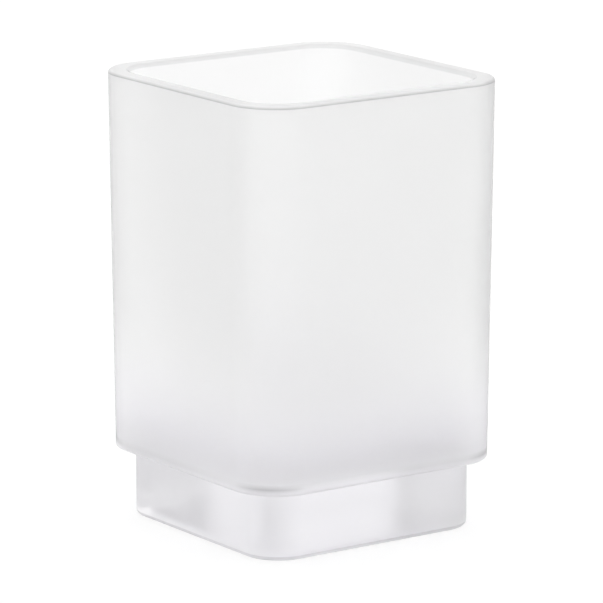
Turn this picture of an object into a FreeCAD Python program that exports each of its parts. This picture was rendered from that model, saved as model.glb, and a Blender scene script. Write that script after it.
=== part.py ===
import FreeCAD
import Part
import Sketcher
import math
import os

# Bathroom tumbler: a satin glass cup of square section, bonded to a narrower solid glass plinth.
# The plinth stands on a table, or drops through the square ring of a wall holder.
# Lengths are in millimetres, +Z is up, and the origin is the middle of the standing face.

SIZES = [
    ("rim_width", 70.0, "cup, outside across flats at the rim"),
    ("ledge_width", 68.4, "cup, outside across flats at its underside"),
    ("corner_radius", 11.7, "cup, outside vertical corner"),
    ("cup_height", 88.8, "cup, underside to rim"),
    ("rim_wall", 4.2, "cup, wall at the rim"),
    ("lower_wall", 4.8, "cup, wall at the floor"),
    ("inner_corner_radius", 9.5, "cup, inside vertical corner"),
    ("floor_rise", 1.0, "cup, floor of the hollow above its underside"),
    ("floor_round", 6.0, "cup, cove between wall and floor"),
    ("rim_outer_round", 0.8, "cup, outer edge of the rim"),
    ("rim_inner_round", 1.0, "cup, inner edge of the rim"),
    ("ledge_round", 0.7, "cup, outer edge of the underside"),
    ("ledge_height", 16.2, "cup, underside above the standing face"),
    ("seat_depth", 0.4, "cup, ground seat for the plinth's top in the underside"),
    ("seat_clearance", 0.3, "cup, gap round the plinth in its seat"),
    ("boss_depth", 3.0, "cup, boss below the seat that centres the plinth"),
    ("boss_clearance", 0.2, "cup, gap round the boss in the plinth's well"),
    ("ledge_overhang", 4.1, "plinth, sides inside those of the cup's underside"),
    ("plinth_corner_radius", 9.0, "plinth, vertical corner"),
    ("plinth_foot_round", 1.2, "plinth, outer edge of the standing face"),
    ("well_wall", 3.0, "plinth, glass round the well for the boss"),
    ("standing_rim", 6.0, "plinth, width of the standing face round the recess"),
    ("recess_depth", 0.8, "plinth, hollow under the foot"),
    ("recess_corner_radius", 6.0, "plinth, corner of the hollow under the foot"),
    ("recess_arris", 0.5, "plinth, ground arris round the hollow under the foot"),
    ("bond_thickness", 0.2, "bond, cured adhesive film"),
    ("bond_inset", 0.6, "bond, film edge inside the boss's edge"),
]


# The plinth follows the cup: its top meets a seat in the cup's underside, inside the ledge all round.
# A boss in that seat reaches down into a well in the plinth's top, with the adhesive film below it.
PLINTH_WIDTH = "Sizes.ledge_width - 2 * Sizes.ledge_overhang"
PLINTH_TOP = "Sizes.ledge_height + Sizes.seat_depth"
WELL_WIDTH = f"{PLINTH_WIDTH} - 2 * Sizes.well_wall"
WELL_CORNER = "Sizes.plinth_corner_radius - Sizes.well_wall"
WELL_DEPTH = "Sizes.boss_depth + Sizes.bond_thickness"
BOSS_WIDTH = f"{WELL_WIDTH} - 2 * Sizes.boss_clearance"
BOSS_CORNER = f"{WELL_CORNER} - Sizes.boss_clearance"

# Two levels count as one when they are closer than this.
LEVEL_TOLERANCE = 1e-4


def make_sheet(doc):
    """Lists every driving dimension in one spreadsheet, a row each, with its name as an alias."""
    sheet = doc.addObject("Spreadsheet::Sheet", "Sizes")
    for row, (alias, value, meaning) in enumerate(SIZES, start=1):
        sheet.set(f"A{row}", meaning)
        sheet.set(f"B{row}", str(value))
        sheet.setAlias(f"B{row}", alias)
    doc.recompute()
    return sheet


def new_body(doc, name, height="0"):
    """Starts a glass piece whose own zero plane lies at the given height in the tumbler."""
    body = doc.addObject("PartDesign::Body", name)
    body.Label = name
    body.setExpression("Placement.Base.z", height)
    return body


def rounded_square(body, name, width, radius, height="0"):
    """Sketches a square with round corners, centred on the body's axis, at a height above its zero plane."""
    plane = next(f for f in body.Origin.OriginFeatures if f.Role == "XY_Plane")
    sketch = body.newObject("Sketcher::SketchObject", name)
    sketch.AttachmentSupport = (plane, [""])
    sketch.MapMode = "FlatFace"
    sketch.setExpression("AttachmentOffset.Base.z", height)

    # Any square near the final size will do: the constraints below set the real one.
    half, corner = 30.0, 8.0
    flat = half - corner
    z_axis = FreeCAD.Vector(0, 0, 1)
    quarter = math.pi / 2
    sides = [((-flat, -half), (flat, -half)), ((half, -flat), (half, flat)),
             ((flat, half), (-flat, half)), ((-half, flat), (-half, -flat))]
    centres = [(flat, -flat), (flat, flat), (-flat, flat), (-flat, -flat)]
    for k in range(4):
        start, end = (FreeCAD.Vector(x, y, 0) for x, y in sides[k])
        sketch.addGeometry(Part.LineSegment(start, end))
        circle = Part.Circle(FreeCAD.Vector(*centres[k], 0), z_axis, corner)
        sketch.addGeometry(Part.ArcOfCircle(circle, (k - 1) * quarter, k * quarter))

    # Sides are even numbers and corners odd ones, counter-clockwise from the front side.
    for k in range(4):
        side, arc, after = 2 * k, 2 * k + 1, (2 * k + 2) % 8
        sketch.addConstraint(Sketcher.Constraint("Tangent", side, 2, arc, 1))
        sketch.addConstraint(Sketcher.Constraint("Tangent", arc, 2, after, 1))
        sketch.addConstraint(Sketcher.Constraint("Vertical" if k % 2 else "Horizontal", side))
    for arc in (3, 5, 7):
        sketch.addConstraint(Sketcher.Constraint("Equal", 1, arc))
    bound = {
        "front": (Sketcher.Constraint("DistanceY", 0, 1, -1, 1, half), f"({width}) / 2"),
        "right": (Sketcher.Constraint("DistanceX", -1, 1, 2, 1, half), f"({width}) / 2"),
        "back": (Sketcher.Constraint("DistanceY", -1, 1, 4, 1, half), f"({width}) / 2"),
        "left": (Sketcher.Constraint("DistanceX", 6, 1, -1, 1, half), f"({width}) / 2"),
        "corner": (Sketcher.Constraint("Radius", 1, corner), radius),
    }
    for label, (constraint, expression) in bound.items():
        index = sketch.addConstraint(constraint)
        sketch.renameConstraint(index, label)
        sketch.setExpression(f"Constraints.{label}", expression)
    return sketch


def tapered_block(body, name, kind, lower, upper, bottom, top):
    """A square block with four flat sloping sides: glass if additive, a hollow if subtractive.
    Its own Y axis is the tumbler's Z axis, because it stands on the body's XZ plane."""
    plane = next(f for f in body.Origin.OriginFeatures if f.Role == "XZ_Plane")
    block = body.newObject(f"PartDesign::{kind}Wedge", name)
    block.AttachmentSupport = (plane, [""])
    block.MapMode = "FlatFace"
    block.setExpression("Ymin", bottom)
    block.setExpression("Ymax", top)
    for across in ("X", "Z"):
        block.setExpression(f"{across}min", f"-({lower}) / 2")
        block.setExpression(f"{across}max", f"({lower}) / 2")
        block.setExpression(f"{across}2min", f"-({upper}) / 2")
        block.setExpression(f"{across}2max", f"({upper}) / 2")
    body.Document.recompute()
    return block


def spans(item, bottom, top):
    """Tells whether an edge or a face reaches from one level exactly up to another."""
    box = item.BoundBox
    return abs(box.ZMin - bottom) < LEVEL_TOLERANCE and abs(box.ZMax - top) < LEVEL_TOLERANCE


def edges_between(shape, bottom, top):
    """Names the edges that run from one level up to another."""
    return [f"Edge{k}" for k, e in enumerate(shape.Edges, start=1) if spans(e, bottom, top)]


def edges_at(shape, height, inside=None):
    """Names the edges that lie in one level plane, all of them or only the inner or the outer loop."""
    level = [(k, e) for k, e in enumerate(shape.Edges, start=1) if spans(e, height, height)]
    if inside is None:
        return [f"Edge{k}" for k, e in level]
    faces = [f for f in shape.Faces if spans(f, height, height)]
    face = max(faces, key=lambda f: f.BoundBox.DiagonalLength)
    outer = face.OuterWire.Edges
    is_outer = {k: any(e.isSame(o) for o in outer) for k, e in level}
    return [f"Edge{k}" for k, e in level if is_outer[k] != inside]


def round_edges(body, name, radius, edges):
    """Rounds edges of the body's last feature, which are given by name."""
    base = body.Tip
    feature = body.newObject("PartDesign::Fillet", name)
    feature.Base = (base, edges)
    feature.setExpression("Radius", radius)
    body.Document.recompute()
    return feature


def grind_edges(body, name, width, edges):
    """Takes a narrow flat arris off edges of the body's last feature, which are given by name."""
    base = body.Tip
    feature = body.newObject("PartDesign::Chamfer", name)
    feature.Base = (base, edges)
    feature.setExpression("Size", width)
    body.Document.recompute()
    return feature


def make_plinth(doc):
    """The solid glass foot: flat sides, round corners, a hollow under it and a well in its ground top."""
    body = new_body(doc, "plinth")
    outline = rounded_square(body, "plinth_outline", PLINTH_WIDTH, "Sizes.plinth_corner_radius")
    block = body.newObject("PartDesign::Pad", "plinth_block")
    block.Profile = outline
    block.setExpression("Length", PLINTH_TOP)
    doc.recompute()

    well_outline = rounded_square(body, "well_outline", WELL_WIDTH, WELL_CORNER, PLINTH_TOP)
    well = body.newObject("PartDesign::Pocket", "well")
    well.Profile = well_outline
    well.setExpression("Length", WELL_DEPTH)
    doc.recompute()

    hollow = rounded_square(body, "recess_outline", f"{PLINTH_WIDTH} - 2 * Sizes.standing_rim",
                            "Sizes.recess_corner_radius")
    recess = body.newObject("PartDesign::Pocket", "recess")
    recess.Profile = hollow
    recess.Reversed = True
    recess.setExpression("Length", "Sizes.recess_depth")
    doc.recompute()

    round_edges(body, "foot_round", "Sizes.plinth_foot_round", edges_at(body.Tip.Shape, 0.0, inside=False))
    grind_edges(body, "recess_edge", "Sizes.recess_arris", edges_at(body.Tip.Shape, 0.0, inside=True))
    return body


def make_bond(doc):
    """The clear film of cured adhesive between the bottom of the plinth's well and the cup's boss."""
    body = new_body(doc, "bond_film", f"{PLINTH_TOP} - ({WELL_DEPTH})")
    outline = rounded_square(body, "film_outline", f"{BOSS_WIDTH} - 2 * Sizes.bond_inset",
                             f"{BOSS_CORNER} - Sizes.bond_inset")
    film = body.newObject("PartDesign::Pad", "film")
    film.Profile = outline
    film.setExpression("Length", "Sizes.bond_thickness")
    doc.recompute()
    return body


def make_cup(doc, size):
    """The satin glass vessel: walls that widen to a fire-polished rim, and a coved floor over a boss."""
    body = new_body(doc, "cup", "Sizes.ledge_height")
    floor, rim = size("floor_rise"), size("cup_height")
    tapered_block(body, "glass", "Additive", "Sizes.ledge_width", "Sizes.rim_width",
                  "0", "Sizes.cup_height")
    round_edges(body, "corners", "Sizes.corner_radius", edges_between(body.Tip.Shape, 0.0, rim))

    tapered_block(body, "hollow", "Subtractive", "Sizes.ledge_width - 2 * Sizes.lower_wall",
                  "Sizes.rim_width - 2 * Sizes.rim_wall", "Sizes.floor_rise", "Sizes.cup_height")
    round_edges(body, "inner_corners", "Sizes.inner_corner_radius",
                edges_between(body.Tip.Shape, floor, rim))
    round_edges(body, "floor_cove", "Sizes.floor_round", edges_at(body.Tip.Shape, floor))

    seat_outline = rounded_square(body, "seat_outline", f"{PLINTH_WIDTH} + 2 * Sizes.seat_clearance",
                                  "Sizes.plinth_corner_radius + Sizes.seat_clearance")
    seat = body.newObject("PartDesign::Pocket", "seat")
    seat.Profile = seat_outline
    seat.Reversed = True
    seat.setExpression("Length", "Sizes.seat_depth")
    doc.recompute()

    boss_outline = rounded_square(body, "boss_outline", BOSS_WIDTH, BOSS_CORNER, "Sizes.seat_depth")
    boss = body.newObject("PartDesign::Pad", "boss")
    boss.Profile = boss_outline
    boss.Reversed = True
    boss.setExpression("Length", "Sizes.boss_depth")
    doc.recompute()

    round_edges(body, "rim_inner_edge", "Sizes.rim_inner_round", edges_at(body.Tip.Shape, rim, inside=True))
    round_edges(body, "rim_outer_edge", "Sizes.rim_outer_round", edges_at(body.Tip.Shape, rim, inside=False))
    round_edges(body, "ledge_edge", "Sizes.ledge_round", edges_at(body.Tip.Shape, 0.0, inside=False))
    return body


def check(doc, pieces):
    """Stops the build if any object failed or any piece isn't one sound solid."""
    for item in doc.Objects:
        if "Invalid" in item.State or "Error" in item.State:
            raise RuntimeError(f"{item.Label} failed: {item.State}")
    for piece in pieces:
        shape = piece.Shape
        if shape.isNull() or not shape.isValid() or len(shape.Solids) != 1:
            raise RuntimeError(f"{piece.Label} isn't one sound solid")
        box = shape.optimalBoundingBox(True, False)
        print(f"{piece.Label}: {box.XLength:.2f} x {box.YLength:.2f} x {box.ZLength:.2f} mm, "
              f"from z {box.ZMin:.2f} to {box.ZMax:.2f}, {shape.Volume / 1000:.2f} ml of glass or film")


def main():
    doc = FreeCAD.newDocument("tumbler")
    sheet = make_sheet(doc)

    def size(alias):
        return float(sheet.get(alias))

    pieces = [make_plinth(doc), make_bond(doc), make_cup(doc, size)]
    doc.recompute()
    check(doc, pieces)
    os.makedirs("parts", exist_ok=True)
    for piece in pieces:
        piece.Shape.exportStep(f"parts/{piece.Label}.step")


main()
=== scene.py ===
# %% [markdown]
# # A satin glass bathroom tumbler
# A square cup of etched glass stands on a narrower block of solid glass. Both pieces are surfaces
# of one kind: a closed profile carried round a square with round corners. This lesson builds them
# on top of the imported solids, gives them a satin glass whose grain, tone and painted shade come
# from nodes, and lights them on a white table.

# %% Load the imported solids
import math

import bpy
import numpy as np
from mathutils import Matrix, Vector


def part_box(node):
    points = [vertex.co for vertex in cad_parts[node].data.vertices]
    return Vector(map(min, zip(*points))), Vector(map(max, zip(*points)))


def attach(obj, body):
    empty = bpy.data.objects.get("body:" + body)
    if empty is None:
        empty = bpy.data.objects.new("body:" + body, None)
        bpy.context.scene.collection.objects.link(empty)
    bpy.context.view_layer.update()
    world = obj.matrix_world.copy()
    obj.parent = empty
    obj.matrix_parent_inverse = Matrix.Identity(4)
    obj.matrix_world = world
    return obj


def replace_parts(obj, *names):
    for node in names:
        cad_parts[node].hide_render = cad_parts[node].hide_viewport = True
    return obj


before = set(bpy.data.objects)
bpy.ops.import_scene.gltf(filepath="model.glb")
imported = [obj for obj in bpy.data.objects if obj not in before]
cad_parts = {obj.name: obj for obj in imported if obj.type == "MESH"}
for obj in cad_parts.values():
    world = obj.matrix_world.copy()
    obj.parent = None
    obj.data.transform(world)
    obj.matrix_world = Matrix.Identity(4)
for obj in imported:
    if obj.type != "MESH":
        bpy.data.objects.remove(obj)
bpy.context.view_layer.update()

MM = 0.001

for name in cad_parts:
    low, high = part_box(name)
    print(name, [round((b - a) / MM, 2) for a, b in zip(low, high)], "mm")

# %% [markdown]
# The main sizes come from the boxes of the solids, in metres. A half width runs from the tumbler's
# axis to a flat side, so a ring is given by two numbers: its half width and its corner radius.
# Rounds, walls and corners don't show in a box, so they are written here once.

# %% Sizes
cup_low, cup_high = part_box("cup")
plinth_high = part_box("plinth")[1]
film_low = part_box("bond_film")[0]

RIM_Z = cup_high[2]
BOSS_Z = cup_low[2]
SEAT_Z = plinth_high[2]
WELL_Z = film_low[2]
WIDEST_HALF = cup_high[0]
PLINTH_HALF = plinth_high[0]

CORNER = 11.7 * MM
SEAT_DEPTH = 0.4 * MM
SEAT_GAP = 0.3 * MM
LEDGE_Z = SEAT_Z - SEAT_DEPTH
LEDGE_HALF = 34.2 * MM
LEDGE_ROUND = 0.7 * MM
RIM_OUTER_ROUND = 0.8 * MM
RIM_INNER_ROUND = 1.0 * MM
RIM_WALL = 4.2 * MM
LOWER_WALL = 4.8 * MM
INNER_CORNER = 9.5 * MM
FLOOR_RISE = 1.0 * MM
FLOOR_Z = LEDGE_Z + FLOOR_RISE
FLOOR_ROUND = 6.0 * MM
BOSS_GAP = 0.2 * MM
WELL_WALL = 3.0 * MM
PLINTH_CORNER = 9.0 * MM
FOOT_ROUND = 1.2 * MM
STANDING_RIM = 6.0 * MM
RECESS_CORNER = 6.0 * MM
RECESS_Z = 0.8 * MM
RECESS_ARRIS = 0.5 * MM
print("cup wall from", round(LEDGE_Z / MM, 1), "to", round(RIM_Z / MM, 1), "mm above the table")

# %% [markdown]
# A square with round corners is the sum of a smaller sharp square and a disc. So a point of any
# ring is (half width - radius) times a point of the unit square plus radius times a direction.
# The square's points and the directions are the same for every ring, and are worked out once.
# The flat sides get close points next to the corners, so that smooth shading stays flat on them.

# %% One ring of a rounded square
ARC_STEPS = 28
SIDE_STOPS = np.array([0.004, 0.02, 0.08, 0.2, 0.35, 0.5, 0.65, 0.8, 0.92, 0.98, 0.996])


def unit_ring():
    """Points of the unit square and directions for one turn, counter-clockwise from one corner:
    a corner keeps its square point and turns its direction, a side keeps its direction and moves
    its point."""
    signs = np.array([(1, -1), (1, 1), (-1, 1), (-1, -1)], float)
    turn = np.linspace(-math.pi / 2, 0, ARC_STEPS + 1)
    angles = turn[None, :] + np.arange(4)[:, None] * math.pi / 2
    arc_points = np.repeat(signs[:, None, :], ARC_STEPS + 1, axis=1)
    arc_ways = np.stack([np.cos(angles), np.sin(angles)], axis=2)
    after = np.roll(signs, -1, axis=0)
    share = SIDE_STOPS[None, :, None]
    side_points = (1 - share) * signs[:, None, :] + share * after[:, None, :]
    side_ways = np.repeat(arc_ways[:, -1:, :], len(SIDE_STOPS), axis=1)
    points = np.concatenate([arc_points, side_points], axis=1).reshape(-1, 2)
    ways = np.concatenate([arc_ways, side_ways], axis=1).reshape(-1, 2)
    return points, ways


SQUARE, WAYS = unit_ring()
print("points in a ring:", len(SQUARE))

# %% [markdown]
# A profile is a list of rows (half width, corner radius, height, satin, painted shade, painted
# corner shade), put together from straight runs and quarter rounds. Satin is the roughness that the
# etching left there. Painted shade darkens the colour of the whole row, to draw a dark line, and
# painted corner shade darkens only its corners, standing in for the shade where light has the
# longest way through the glass. A row with the satin value BONDED lies in the joint of cup and
# plinth, where glass meets glass and nothing is seen.

# %% Rows of a profile
BONDED = -1.0
SATIN_COLUMN = 3
ROUND_STEPS = 8
RUN_STOPS = np.array([0.0, 0.01, 0.05, 0.2, 0.4, 0.6, 0.8, 0.95, 0.99, 1.0])


def row(half, corner, height, satin, painted_shade=0.0, painted_corner_shade=0.0):
    return np.array([half, corner, height, satin, painted_shade, painted_corner_shade])


def finish(place, satin, painted_shade=0.0, painted_corner_shade=0.0):
    """A row at the same place with another finish."""
    return row(*place[:SATIN_COLUMN], satin, painted_shade, painted_corner_shade)


def run(start, end):
    """A straight run of rows from one row to another, closer together at both ends."""
    return start + RUN_STOPS[:, None] * (end - start)


def bonded_run(start, end):
    """A straight run whose rows all lie in the joint."""
    rows = run(start, end)
    rows[:, SATIN_COLUMN] = BONDED
    return rows


def quarter_round(start, end, rising):
    """A quarter of an ellipse between two rows. A rising one leaves its start along the height,
    the other kind leaves it sideways. Half width and corner radius change together."""
    angle = np.linspace(0, math.pi / 2, ROUND_STEPS + 1)
    slow, fast = 1 - np.cos(angle), np.sin(angle)
    across, up = (slow, fast) if rising else (fast, slow)
    share = np.stack([across, across, up, fast, fast, fast], axis=1)
    return start + share * (end - start)


# %% [markdown]
# The sweep sets every row at its height and closes both ends with a fan of triangles on the axis.
# Satin, painted shade and painted corner shade go to the mesh as values of its points, the joint
# as a value of its faces.

# %% The surface a profile sweeps
def mark(mesh, label, domain, values):
    """Numbers on the mesh's points or faces, for the materials to read."""
    mesh.attributes.new(label, "FLOAT", domain).data.foreach_set("value", values.astype(np.float32))


def sweep(name, *stretches):
    """The closed surface of a profile that starts and ends on the axis:
    point = (half width - radius) * square point + radius * direction, at the row's height."""
    rows = np.concatenate(stretches)
    half, corner, height, satin, painted_shade, painted_corner_shade = rows.T
    flat = (half - corner)[:, None, None] * SQUARE + corner[:, None, None] * WAYS
    grid = np.concatenate([flat, np.broadcast_to(height[:, None, None], flat.shape[:2] + (1,))], axis=2)
    count, rings = len(SQUARE), len(rows) - 2
    verts = np.concatenate([grid[:1, 0], grid[1:-1].reshape(-1, 3), grid[-1:, 0]])
    around = np.arange(count)
    ahead = np.roll(around, -1)
    base = 1 + count * np.arange(rings - 1)[:, None]
    quads = np.stack([base + around, base + ahead, base + count + ahead, base + count + around], axis=2)
    top = 1 + count * (rings - 1)
    under = np.stack([np.zeros_like(around), 1 + ahead, 1 + around], axis=1)
    over = np.stack([top + around, top + ahead, np.full_like(around, len(verts) - 1)], axis=1)
    mesh = bpy.data.meshes.new(name)
    mesh.from_pydata(verts.tolist(), [], under.tolist() + quads.reshape(-1, 4).tolist() + over.tolist())
    mesh.shade_smooth()

    # Painted shade covers whole rings; painted corner shade covers only their corners.
    even, in_corner = np.ones(count), 2 * np.abs(WAYS[:, 0] * WAYS[:, 1])
    for label, values, share in (("satin", np.maximum(satin, 0), even), ("painted_shade", painted_shade, even),
                                 ("painted_corner_shade", painted_corner_shade, in_corner)):
        rings_values = (values[1:-1, None] * share).ravel()
        mark(mesh, label, "POINT", np.concatenate([values[:1], rings_values, values[-1:]]))
    hidden = np.minimum(satin[:-1], satin[1:]) < 0
    mark(mesh, "bonded", "FACE", np.repeat(hidden, count))

    piece = bpy.data.objects.new(name, mesh)
    bpy.context.scene.collection.objects.link(piece)
    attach(piece, "root")
    print(name, len(mesh.vertices), "points,", len(mesh.polygons), "faces")
    return piece


# %% [markdown]
# The cup's profile starts under its boss, goes up the boss's side, out over the ledge, up the
# outside, over the rim, down the inside and back to the axis on the floor. The walls lean out a
# little, so half widths follow a straight line. The outside is etched deeply, most of all low down,
# and so is the floor with its cove, where the acid stood longest. The inside walls are etched only
# lightly, and more towards the cove. Outside, the etching thins out over the last millimetres above
# the ledge, where the border of the floor shows through as a dark line, deepened with painted shade
# that is strongest at the corners. The rim was melted smooth, and its rounds are darkened with
# painted shade, the outer one into a thin dark line.

# %% The cup
OUTSIDE_SATIN = 0.8
LOWER_SATIN = 0.95
LOWER_END = 50.0 * MM
INSIDE_SATIN = 0.28
COVE_SATIN = 0.9
COVE_FADE = 20.0 * MM
RIM_SATIN = 0.3
# Painted shade on the rim's rounds: it darkens the glass's colour into thin dark lines.
RIM_PAINTED_SHADE = 2.4
RIM_TOP_PAINTED_SHADE = 0.0
LIP_PAINTED_SHADE = 0.7
LEDGE_SATIN = 0.36
# Painted shade above the ledge, stronger at the corners: a dark line in the glass's colour.
LEDGE_PAINTED_SHADE = 0.4
LEDGE_CORNER_SHADE = 1.3
LEDGE_CLEAR = 1.6 * MM
LEDGE_FADE = 2.8 * MM


def outside_half(z):
    """The outside leans evenly from the ledge to the widest ring, just under the rim's round."""
    return np.interp(z, [LEDGE_Z, RIM_Z - RIM_OUTER_ROUND], [LEDGE_HALF, WIDEST_HALF])


def inside_half(z):
    """The wall grows thicker evenly from the rim down to the floor."""
    outer_rim = WIDEST_HALF * 2 - outside_half(RIM_Z - 2 * RIM_OUTER_ROUND)
    return np.interp(z, [FLOOR_Z, RIM_Z], [LEDGE_HALF - LOWER_WALL, outer_rim - RIM_WALL])


def make_cup():
    boss_half = PLINTH_HALF - WELL_WALL - BOSS_GAP
    boss_corner = PLINTH_CORNER - WELL_WALL - BOSS_GAP
    boss = row(boss_half, boss_corner, BOSS_Z, BONDED)
    boss_root = row(boss_half, boss_corner, SEAT_Z, BONDED)
    joint = row(PLINTH_HALF, PLINTH_CORNER, SEAT_Z, LEDGE_SATIN)
    seat = row(PLINTH_HALF + SEAT_GAP, PLINTH_CORNER + SEAT_GAP, SEAT_Z, LEDGE_SATIN)
    seat_edge = row(PLINTH_HALF + SEAT_GAP, PLINTH_CORNER + SEAT_GAP, LEDGE_Z, LEDGE_SATIN)
    ledge = row(LEDGE_HALF - LEDGE_ROUND, CORNER - LEDGE_ROUND, LEDGE_Z, LEDGE_SATIN)
    wall_z, clear_z, fade_z = (LEDGE_Z + rise for rise in (LEDGE_ROUND, LEDGE_CLEAR, LEDGE_FADE))
    wall_low = row(outside_half(wall_z), CORNER, wall_z, LEDGE_SATIN)
    # Painted shade at this row draws the dark line above the ledge, stronger at the corners.
    wall_clear = row(outside_half(clear_z), CORNER, clear_z, LEDGE_SATIN, LEDGE_PAINTED_SHADE, LEDGE_CORNER_SHADE)
    wall_mid = row(outside_half(fade_z), CORNER, fade_z, LOWER_SATIN)
    wall_soft = row(outside_half(LOWER_END), CORNER, LOWER_END, OUTSIDE_SATIN)
    wall_high = row(WIDEST_HALF, CORNER, RIM_Z - RIM_OUTER_ROUND, OUTSIDE_SATIN)
    rim_out = row(WIDEST_HALF - RIM_OUTER_ROUND, CORNER - RIM_OUTER_ROUND, RIM_Z, RIM_SATIN)
    lip_z = RIM_Z - RIM_INNER_ROUND
    lip = row(inside_half(lip_z), INNER_CORNER, lip_z, INSIDE_SATIN)
    rim_in = row(lip[0] + RIM_INNER_ROUND, INNER_CORNER + RIM_INNER_ROUND, RIM_Z, RIM_SATIN)
    cove_z = FLOOR_Z + FLOOR_ROUND
    cove = row(inside_half(cove_z), INNER_CORNER, cove_z, COVE_SATIN)
    inside_z = cove_z + COVE_FADE
    wall_inside = row(inside_half(inside_z), INNER_CORNER, inside_z, INSIDE_SATIN)
    floor = row(cove[0] - FLOOR_ROUND, INNER_CORNER - FLOOR_ROUND, FLOOR_Z, COVE_SATIN)
    # Painted shade darkens the rim's rounds.
    outer_round = [finish(wall_high, RIM_SATIN, RIM_PAINTED_SHADE), finish(rim_out, RIM_SATIN, RIM_TOP_PAINTED_SHADE)]
    inner_round = [finish(place, RIM_SATIN, LIP_PAINTED_SHADE) for place in (lip, rim_in)]
    return sweep(
        "cup_glass",
        run(row(0, 0, BOSS_Z, BONDED), boss),
        run(boss, boss_root)[1:],
        bonded_run(boss_root, joint)[1:-1],
        run(joint, seat),
        run(seat, seat_edge)[1:],
        run(seat_edge, ledge)[1:],
        quarter_round(ledge, wall_low, rising=False)[1:],
        run(wall_low, wall_clear)[1:],
        run(wall_clear, wall_mid)[1:],
        run(wall_mid, wall_soft)[1:],
        run(wall_soft, wall_high)[1:],
        quarter_round(*outer_round, rising=True)[1:],
        run(rim_out, rim_in)[1:],
        quarter_round(*inner_round, rising=True)[-2:0:-1],
        run(lip, wall_inside),
        run(wall_inside, cove)[1:],
        quarter_round(cove, floor, rising=True)[1:],
        run(floor, row(0, 0, FLOOR_Z, COVE_SATIN))[1:],
    )


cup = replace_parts(make_cup(), "cup")

# %% [markdown]
# The plinth is a solid block with a shallow hollow under it, so it stands on a flat ring, and with
# a well in its top for the cup's boss. Its side is straight, with a round at the foot, and is more
# lightly etched than the cup, so that its back shows through as light and dark fields. Painted shade
# darkens the foot's round into a thin dark line and the side's corners a little.

# %% The plinth
PLINTH_SATIN = 0.33
# Painted shade on the corners of the plinth's side.
PLINTH_CORNER_SHADE = 0.15
FOOT_SATIN = 0.29
# Painted shade on the foot's round: a thin dark line in the glass's colour.
FOOT_PAINTED_SHADE = 1.0
FOOT_CLEAR = 1.8 * MM
FOOT_FADE = 3.5 * MM
UNDER_SATIN = 0.18


def make_plinth():
    recess_half = PLINTH_HALF - STANDING_RIM
    recess = row(recess_half, RECESS_CORNER, RECESS_Z, UNDER_SATIN)
    recess_low = row(recess_half, RECESS_CORNER, RECESS_ARRIS, UNDER_SATIN)
    ring_in = row(recess_half + RECESS_ARRIS, RECESS_CORNER + RECESS_ARRIS, 0, UNDER_SATIN)
    ring_out = row(PLINTH_HALF - FOOT_ROUND, PLINTH_CORNER - FOOT_ROUND, 0, UNDER_SATIN)
    side_low = row(PLINTH_HALF, PLINTH_CORNER, FOOT_ROUND, FOOT_SATIN)
    side_clear = row(PLINTH_HALF, PLINTH_CORNER, FOOT_CLEAR, FOOT_SATIN)
    # Painted corner shade on the side's corners.
    side_mid = row(PLINTH_HALF, PLINTH_CORNER, FOOT_FADE, PLINTH_SATIN, 0.0, PLINTH_CORNER_SHADE)
    side_high = row(PLINTH_HALF, PLINTH_CORNER, SEAT_Z, PLINTH_SATIN, 0.0, PLINTH_CORNER_SHADE)
    well_half, well_corner = PLINTH_HALF - WELL_WALL, PLINTH_CORNER - WELL_WALL
    well_top = row(well_half, well_corner, SEAT_Z, BONDED)
    well = row(well_half, well_corner, WELL_Z, BONDED)
    # Painted shade draws a dark line on the foot's round.
    foot_round = [finish(place, FOOT_SATIN, FOOT_PAINTED_SHADE) for place in (ring_out, side_low)]
    return sweep(
        "plinth_glass",
        run(row(0, 0, RECESS_Z, UNDER_SATIN), recess),
        run(recess, recess_low)[1:],
        run(recess_low, ring_in)[1:],
        run(ring_in, ring_out)[1:],
        quarter_round(*foot_round, rising=False)[1:-1],
        run(side_low, side_clear),
        run(side_clear, side_mid)[1:],
        run(side_mid, side_high)[1:],
        bonded_run(side_high, well_top)[1:],
        run(well_top, well)[1:],
        run(well, row(0, 0, WELL_Z, BONDED))[1:],
    )


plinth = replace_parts(make_plinth(), "plinth")

# %% [markdown]
# Two effects are shared by both pieces and are node groups. The grain is the fine pitting that the
# acid leaves: it varies the roughness a little and raises a very low bump, which fades out where the
# etching is light. The tone is the colour of the glass: neutral above, with a breath of lilac in the
# lower part where the glass is thickest, and clouded a little. The same group paints shade into that
# colour where a row is marked for painted shade.

# %% Node groups
def new_group(name, inputs, outputs):
    """A shader node group with named sockets, each given as (name, kind, start value)."""
    group = bpy.data.node_groups.new(name, "ShaderNodeTree")
    for label, kind, value in inputs:
        group.interface.new_socket(label, in_out="INPUT", socket_type=kind).default_value = value
    for label, kind in outputs:
        group.interface.new_socket(label, in_out="OUTPUT", socket_type=kind)
    return group, group.nodes.new("NodeGroupInput").outputs, group.nodes.new("NodeGroupOutput").inputs


def operate(tree, kind, operation, values):
    """A node for one operation, whose inputs are sockets or plain values, given back as its outputs."""
    node = tree.nodes.new(kind)
    node.operation = operation
    for socket, value in zip(node.inputs, values):
        if isinstance(value, bpy.types.NodeSocket):
            tree.links.new(value, socket)
        else:
            socket.default_value = value
    return node.outputs


def maths(tree, operation, *values):
    return operate(tree, "ShaderNodeMath", operation, values)[0]


def noise(tree, scale, detail):
    """Noise in the piece's own space, in cells per metre, centred on nought."""
    node = tree.nodes.new("ShaderNodeTexNoise")
    node.inputs["Scale"].default_value = scale
    node.inputs["Detail"].default_value = detail
    coordinates = tree.nodes.new("ShaderNodeTexCoord")
    tree.links.new(coordinates.outputs["Object"], node.inputs["Vector"])
    return maths(tree, "SUBTRACT", node.outputs["Fac"], 0.5)


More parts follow.
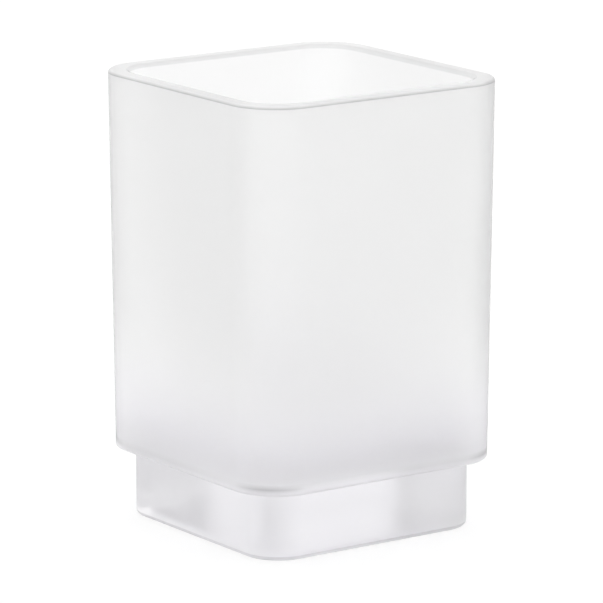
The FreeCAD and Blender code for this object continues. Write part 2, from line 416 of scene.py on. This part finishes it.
GRAIN_SCALE = 2600.0
GRAIN_DETAIL = 2.0
CLOUD_SCALE = 55.0
CLOUD_DETAIL = 3.0
RELIEF_POWER = 3.0
PITTING = 0.04
SATIN_CLOUDING = 0.03
TONE_CLOUDING = 0.01
WHITE = (1, 1, 1, 1)


def make_grain():
    group, given, result = new_group(
        "satin_grain",
        [("Satin", "NodeSocketFloat", 0.0), ("Pitting", "NodeSocketFloat", PITTING),
         ("Clouding", "NodeSocketFloat", SATIN_CLOUDING)],
        [("Roughness", "NodeSocketFloat"), ("Height", "NodeSocketFloat")])
    fine = noise(group, GRAIN_SCALE, GRAIN_DETAIL)
    broad = noise(group, CLOUD_SCALE, CLOUD_DETAIL)
    change = maths(group, "ADD", maths(group, "MULTIPLY", fine, given["Pitting"]),
                   maths(group, "MULTIPLY", broad, given["Clouding"]))
    roughness = maths(group, "MULTIPLY_ADD", given["Satin"], change, given["Satin"])
    group.links.new(roughness, result["Roughness"])
    relief = maths(group, "POWER", given["Satin"], RELIEF_POWER)
    group.links.new(maths(group, "MULTIPLY", fine, relief), result["Height"])
    return group


def make_tone_and_painted_shade():
    group, given, result = new_group(
        "glass_tone_and_painted_shade",
        [("Upper", "NodeSocketColor", WHITE), ("Lower", "NodeSocketColor", WHITE),
         ("Low", "NodeSocketFloat", 0.0), ("High", "NodeSocketFloat", 0.0),
         ("Clouding", "NodeSocketFloat", TONE_CLOUDING), ("Edge", "NodeSocketFloat", 0.0),
         ("Edge Depth", "NodeSocketFloat", 0.0)],
        [("Color", "NodeSocketColor")])
    coordinates = group.nodes.new("ShaderNodeTexCoord")
    parts = group.nodes.new("ShaderNodeSeparateXYZ")
    group.links.new(coordinates.outputs["Object"], parts.inputs[0])
    height = group.nodes.new("ShaderNodeMapRange")
    height.interpolation_type = "SMOOTHSTEP"
    group.links.new(parts.outputs["Z"], height.inputs["Value"])
    group.links.new(given["Low"], height.inputs["From Min"])
    group.links.new(given["High"], height.inputs["From Max"])
    blend = group.nodes.new("ShaderNodeMix")
    blend.data_type = "RGBA"
    group.links.new(height.outputs["Result"], blend.inputs["Factor"])
    group.links.new(given["Lower"], blend.inputs["A"])
    group.links.new(given["Upper"], blend.inputs["B"])
    cloud = maths(group, "MULTIPLY", noise(group, CLOUD_SCALE, CLOUD_DETAIL), given["Clouding"])
    # Painted shade: marked rows make the colour darker, in place of dark lines and corners from the
    # light.
    painted_darkening = maths(group, "MULTIPLY", given["Edge"], given["Edge Depth"])
    level = maths(group, "SUBTRACT", maths(group, "ADD", cloud, 1.0), painted_darkening)
    shade = group.nodes.new("ShaderNodeVectorMath")
    shade.operation = "SCALE"
    group.links.new(blend.outputs["Result"], shade.inputs[0])
    group.links.new(level, shade.inputs["Scale"])
    group.links.new(shade.outputs["Vector"], result["Color"])
    return group


grain_group, tone_and_painted_shade_group = make_grain(), make_tone_and_painted_shade()
print("groups:", grain_group.name, tone_and_painted_shade_group.name)

# %% [markdown]
# Satin glass is clear glass whose skin was etched: light goes through it but is scattered, so the
# far side shows only as a soft glow. It is a transmitting surface whose roughness is the satin
# value of the mesh. Light that bounces between the grains of the cup's deep etching comes out in the
# end, so the cup scatters with MULTI_GGX. The plinth's sides are taken to swallow it, which is plain
# GGX and gives the light and dark fields. In the bonded joint the two glasses are one, so the surface
# is switched off there with Alpha.

# %% The glass
GLASS_IOR = 1.5
GRAIN_BUMP = 0.05
GRAIN_DEPTH = 0.01 * MM
TONE = 0.99
NEUTRAL = (TONE, TONE, TONE, 1)
CUP_LILAC = (0.988, 0.983, 1.0, 1)
PLINTH_LILAC = (0.978, 0.968, 1.0, 1)
LILAC_FULL_Z = 20.0 * MM
LILAC_END_Z = 42.0 * MM
PAINTED_SHADE_DEPTH = 0.35


def attribute(tree, name):
    node = tree.nodes.new("ShaderNodeAttribute")
    node.attribute_name = name
    return node.outputs["Fac"]


def satin_glass(name, lilac, scatter):
    material = bpy.data.materials.new(name)
    material.use_nodes = True
    tree = material.node_tree
    shader = tree.nodes["Principled BSDF"]
    shader.inputs["Transmission Weight"].default_value = 1.0
    shader.inputs["IOR"].default_value = GLASS_IOR
    shader.distribution = scatter
    grain = tree.nodes.new("ShaderNodeGroup")
    grain.node_tree = grain_group
    tree.links.new(attribute(tree, "satin"), grain.inputs["Satin"])
    tree.links.new(grain.outputs["Roughness"], shader.inputs["Roughness"])
    bump = tree.nodes.new("ShaderNodeBump")
    bump.inputs["Strength"].default_value = GRAIN_BUMP
    bump.inputs["Distance"].default_value = GRAIN_DEPTH
    tree.links.new(grain.outputs["Height"], bump.inputs["Height"])
    tree.links.new(bump.outputs["Normal"], shader.inputs["Normal"])
    tone = tree.nodes.new("ShaderNodeGroup")
    tone.node_tree = tone_and_painted_shade_group
    tone.inputs["Upper"].default_value = NEUTRAL
    tone.inputs["Lower"].default_value = lilac
    tone.inputs["Low"].default_value = LILAC_FULL_Z
    tone.inputs["High"].default_value = LILAC_END_Z
    tone.inputs["Edge Depth"].default_value = PAINTED_SHADE_DEPTH
    # Painted shade and painted corner shade from the mesh darken the glass's colour.
    dark = maths(tree, "ADD", attribute(tree, "painted_shade"), attribute(tree, "painted_corner_shade"))
    tree.links.new(dark, tone.inputs["Edge"])
    tree.links.new(tone.outputs["Color"], shader.inputs["Base Color"])
    tree.links.new(maths(tree, "SUBTRACT", 1.0, attribute(tree, "bonded")), shader.inputs["Alpha"])
    return material


cup.data.materials.append(satin_glass("satin_cup", CUP_LILAC, "MULTI_GGX"))
plinth.data.materials.append(satin_glass("satin_plinth", PLINTH_LILAC, "GGX"))
print("glass:", cup.data.materials[0].name, plinth.data.materials[0].name)

# %% [markdown]
# The adhesive film lies hidden in the joint. Cured, it has the glass's own refraction, so almost
# nothing of it is seen: a trace of cloudiness, uneven where it was spread.

# %% The adhesive film
FILM_TRACE = 0.04
FILM_GREY = 0.95
FILM_ROUGHNESS = 0.3


def make_film():
    material = bpy.data.materials.new("cured_film")
    material.use_nodes = True
    tree = material.node_tree
    shader = tree.nodes["Principled BSDF"]
    shader.inputs["Base Color"].default_value = (FILM_GREY, FILM_GREY, FILM_GREY, 1)
    shader.inputs["Roughness"].default_value = FILM_ROUGHNESS
    uneven = maths(tree, "MULTIPLY", noise(tree, CLOUD_SCALE, CLOUD_DETAIL), FILM_TRACE)
    tree.links.new(maths(tree, "ADD", uneven, FILM_TRACE), shader.inputs["Alpha"])
    return material


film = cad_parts["bond_film"]
film.material_slots[0].material = make_film()
print("film:", film.material_slots[0].material.name)

# %% [markdown]
# The tumbler stands in an even white room. Left and right in it are meant as the viewer sees them,
# who looks at a corner between two sides. Table and light both change a little from left to right.

# %% Directions in the room
TURN = math.radians(35.31)
TO_VIEWER = Vector((-math.sin(TURN), -math.cos(TURN), 0))
TO_RIGHT = Vector((math.cos(TURN), -math.sin(TURN), 0))


def vector_maths(tree, operation, *values):
    return operate(tree, "ShaderNodeVectorMath", operation, values)


def towards(tree, direction, aim):
    """How far a direction points the way of an aim: its cosine squared, and nought behind."""
    cosine = maths(tree, "MAXIMUM", vector_maths(tree, "DOT_PRODUCT", direction, aim)["Value"], 0.0)
    return maths(tree, "MULTIPLY", cosine, cosine)


print("seen from", [round(v, 3) for v in TO_VIEWER])

# %% [markdown]
# Rays from the camera and rays that left the glass see the table brighter than its paint, as a lit
# light table, so that it joins the white behind it. Other rays see only the paint. Beside the plinth,
# on the right, rays from the glass see a short shade, which darkens that end of the plinth.

# %% The table
TABLE_REACH = 4.0
TABLE_PAINT = 0.3
TABLE_GLOW = 0.72
TABLE_ROUGHNESS = 0.9
SHADE_RIGHT = 0.3
SHADE_REACH = 0.05


def table_shade(tree):
    """The light missing beside the plinth: full at its side, gone at the shade's reach."""
    place = tree.nodes.new("ShaderNodeTexCoord").outputs["Object"]
    near = tree.nodes.new("ShaderNodeMapRange")
    near.interpolation_type = "SMOOTHSTEP"
    near.inputs["From Min"].default_value = SHADE_REACH
    near.inputs["From Max"].default_value = PLINTH_HALF
    tree.links.new(vector_maths(tree, "LENGTH", place)["Value"], near.inputs["Value"])
    right = towards(tree, vector_maths(tree, "NORMALIZE", place)["Vector"], TO_RIGHT)
    return maths(tree, "MULTIPLY", maths(tree, "MULTIPLY", near.outputs["Result"], right), SHADE_RIGHT)


def white_table():
    material = bpy.data.materials.new("white_table")
    material.use_nodes = True
    tree = material.node_tree
    shader = tree.nodes["Principled BSDF"]
    shader.inputs["Base Color"].default_value = (TABLE_PAINT, TABLE_PAINT, TABLE_PAINT, 1)
    shader.inputs["Roughness"].default_value = TABLE_ROUGHNESS
    shader.inputs["Emission Color"].default_value = WHITE
    path = tree.nodes.new("ShaderNodeLightPath").outputs
    from_glass = maths(tree, "MAXIMUM", path["Is Transmission Ray"], path["Is Glossy Ray"])
    lit = maths(tree, "MULTIPLY", from_glass, maths(tree, "SUBTRACT", 1.0, table_shade(tree)))
    seen = maths(tree, "MAXIMUM", path["Is Camera Ray"], lit)
    tree.links.new(maths(tree, "MULTIPLY", seen, TABLE_GLOW), shader.inputs["Emission Strength"])
    return material


def make_table():
    mesh = bpy.data.meshes.new("table")
    corners = [(x * TABLE_REACH, y * TABLE_REACH, 0) for x, y in ((-1, -1), (1, -1), (1, 1), (-1, 1))]
    mesh.from_pydata(corners, [], [(0, 1, 2, 3)])
    mesh.materials.append(white_table())
    table = bpy.data.objects.new("table", mesh)
    bpy.context.scene.collection.objects.link(table)
    return table


print("stage:", make_table().name)

# %% [markdown]
# White light comes from all sides, a little dimmer from the left and more so from the right. It has
# no lamp, because a satin surface shows no sharp reflection of one.

# %% The light
ROOM_LIGHT = 1.003
LEFT_DIM = 0.05
RIGHT_DIM = 0.15


def make_world():
    world = bpy.data.worlds.new("studio")
    bpy.context.scene.world = world
    world.use_nodes = True
    tree = world.node_tree
    background = tree.nodes["Background"]
    background.inputs["Strength"].default_value = ROOM_LIGHT
    direction = tree.nodes.new("ShaderNodeTexCoord").outputs["Generated"]
    left = maths(tree, "MULTIPLY", towards(tree, direction, -TO_RIGHT), LEFT_DIM)
    right = maths(tree, "MULTIPLY", towards(tree, direction, TO_RIGHT), RIGHT_DIM)
    light = maths(tree, "SUBTRACT", 1.0, maths(tree, "ADD", left, right))
    tree.links.new(light, background.inputs["Color"])
    return world


print("light:", make_world().name)

# %% [markdown]
# The camera looks down a little on the corner between two sides. Light has to cross many glass
# surfaces, so the paths may be long.

# %% Camera
TILT = math.radians(12.53)
AWAY = 1.0740
SIDE = 0.0002
LEVEL = 0.2902
SENSOR = 36.0
LENS = 284.8
ALL_BOUNCES = 32
GLOSSY_BOUNCES = 16
GLASS_BOUNCES = 24
ALPHA_BOUNCES = 16

camera_data = bpy.data.cameras.new("camera")
camera_data.sensor_width = SENSOR
camera_data.lens = LENS
camera = bpy.data.objects.new("camera", camera_data)
bpy.context.scene.collection.objects.link(camera)
camera.location = SIDE * TO_RIGHT + AWAY * TO_VIEWER + Vector((0, 0, LEVEL))
look = -math.cos(TILT) * TO_VIEWER - math.sin(TILT) * Vector((0, 0, 1))
camera.rotation_euler = look.to_track_quat("-Z", "Y").to_euler()
scene = bpy.context.scene
scene.camera = camera
scene.view_settings.view_transform = "Standard"
scene.cycles.max_bounces = ALL_BOUNCES
scene.cycles.glossy_bounces = GLOSSY_BOUNCES
scene.cycles.transmission_bounces = GLASS_BOUNCES
scene.cycles.transparent_max_bounces = ALPHA_BOUNCES
print("camera at", [round(v, 3) for v in camera.location])
